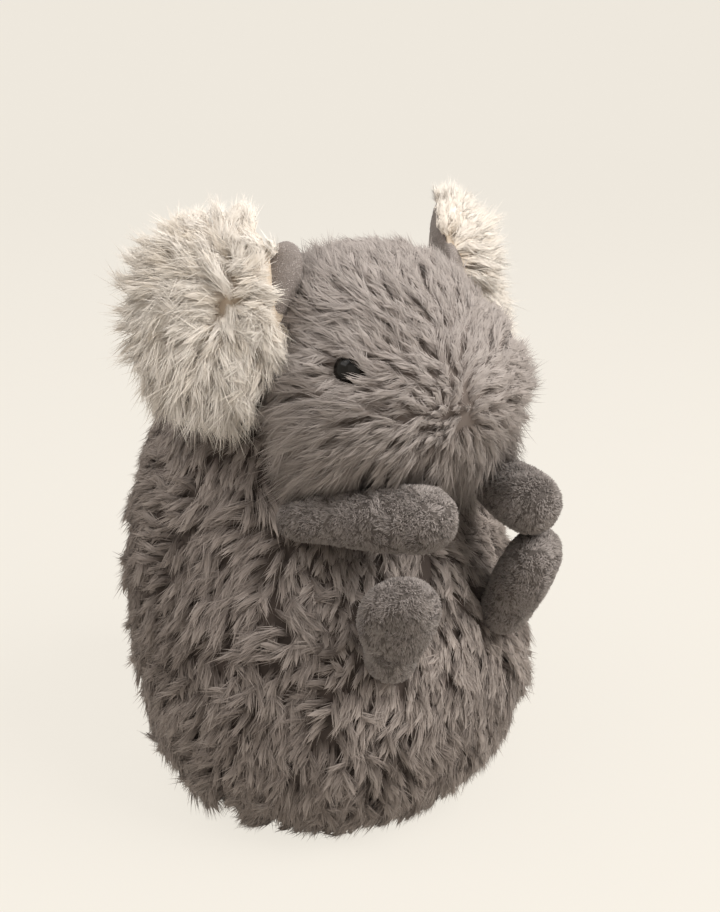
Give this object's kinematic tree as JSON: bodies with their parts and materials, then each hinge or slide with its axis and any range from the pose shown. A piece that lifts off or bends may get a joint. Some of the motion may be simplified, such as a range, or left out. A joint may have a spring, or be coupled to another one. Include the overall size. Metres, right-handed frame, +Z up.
{
  "type": "plush chinchilla",
  "caption": "Seated plush chinchilla in grey fur with round cream ears; the head turns and the ears, arms, feet and tail bend at their sewn roots.",
  "frame": {"origin": "middle of the flat underside that the toy sits on", "axes": "+Z up; the toy faces -Y and its right side is at -X"},
  "size_m": [0.1104, 0.1387, 0.1558],
  "materials": {
    "grey_plush": "matte",
    "cream_plush": "matte",
    "grey_velboa": "matte",
    "fibre": "matte",
    "pellet_cloth": "matte",
    "black_plastic": "gloss",
    "white_plastic": "satin"
  },
  "bodies": {
    "torso": {"back_panel_right": "grey_plush", "back_panel_left": "grey_plush", "belly_panel": "grey_plush", "base_panel": "grey_plush", "body_filling": "fibre", "pellet_bag": "pellet_cloth"},
    "head": {"face_panel_right": "grey_plush", "face_panel_left": "grey_plush", "head_gusset": "grey_plush", "chin_panel": "grey_plush", "head_filling": "fibre", "eye_right": "black_plastic", "eye_left": "black_plastic", "eye_washer_right": "white_plastic", "eye_washer_left": "white_plastic"},
    "ear_right": {"ear_front_right": "cream_plush", "ear_back_right": "grey_velboa"},
    "ear_left": {"ear_front_left": "cream_plush", "ear_back_left": "grey_velboa"},
    "arm_right": {"arm_cover_right": "grey_velboa", "arm_filling_right": "fibre"},
    "arm_left": {"arm_cover_left": "grey_velboa", "arm_filling_left": "fibre"},
    "foot_right": {"foot_cover_right": "grey_velboa", "foot_sole_right": "grey_velboa", "foot_filling_right": "fibre"},
    "foot_left": {"foot_cover_left": "grey_velboa", "foot_sole_left": "grey_velboa", "foot_filling_left": "fibre"},
    "tail": {"tail_cover": "grey_plush", "tail_filling": "fibre"}
  },
  "joints": [
    {"name": "neck_turn", "type": "hinge", "parent": "torso", "child": "head", "pos_m": [0, -0.017, 0.122], "axis": [0, 0, 1], "range_deg": [-10, 10], "stiffness_Nm_per_rad": 0.05},
    {"name": "ear_right_bend", "type": "hinge", "parent": "head", "child": "ear_right", "pos_m": [-0.02925, -0.01598, 0.12716], "axis": [0.225, 0, 0.9744], "range_deg": [-12, 30], "stiffness_Nm_per_rad": 0.02},
    {"name": "ear_left_bend", "type": "hinge", "parent": "head", "child": "ear_left", "pos_m": [0.02925, -0.01598, 0.12716], "axis": [0.225, 0, -0.9744], "range_deg": [-12, 30], "stiffness_Nm_per_rad": 0.02},
    {"name": "arm_right_swing", "type": "hinge", "parent": "torso", "child": "arm_right", "pos_m": [-0.02976, -0.02302, 0.08775], "axis": [0, 0, 1], "range_deg": [-25, 10], "stiffness_Nm_per_rad": 0.02},
    {"name": "arm_left_swing", "type": "hinge", "parent": "torso", "child": "arm_left", "pos_m": [0.02976, -0.02302, 0.08775], "axis": [0, 0, -1], "range_deg": [-25, 10], "stiffness_Nm_per_rad": 0.02},
    {"name": "foot_right_flap", "type": "hinge", "parent": "torso", "child": "foot_right", "pos_m": [-0.01961, -0.04552, 0.05692], "axis": [0.9063, -0.4226, 0], "range_deg": [-10, 25], "stiffness_Nm_per_rad": 0.03},
    {"name": "foot_left_flap", "type": "hinge", "parent": "torso", "child": "foot_left", "pos_m": [0.01961, -0.04552, 0.05692], "axis": [0.9063, 0.4226, 0], "range_deg": [-10, 25], "stiffness_Nm_per_rad": 0.03},
    {"name": "tail_wag", "type": "hinge", "parent": "torso", "child": "tail", "pos_m": [0, 0.05253, 0.02513], "axis": [0, 0, 1], "range_deg": [-20, 20], "stiffness_Nm_per_rad": 0.02}
  ]
}
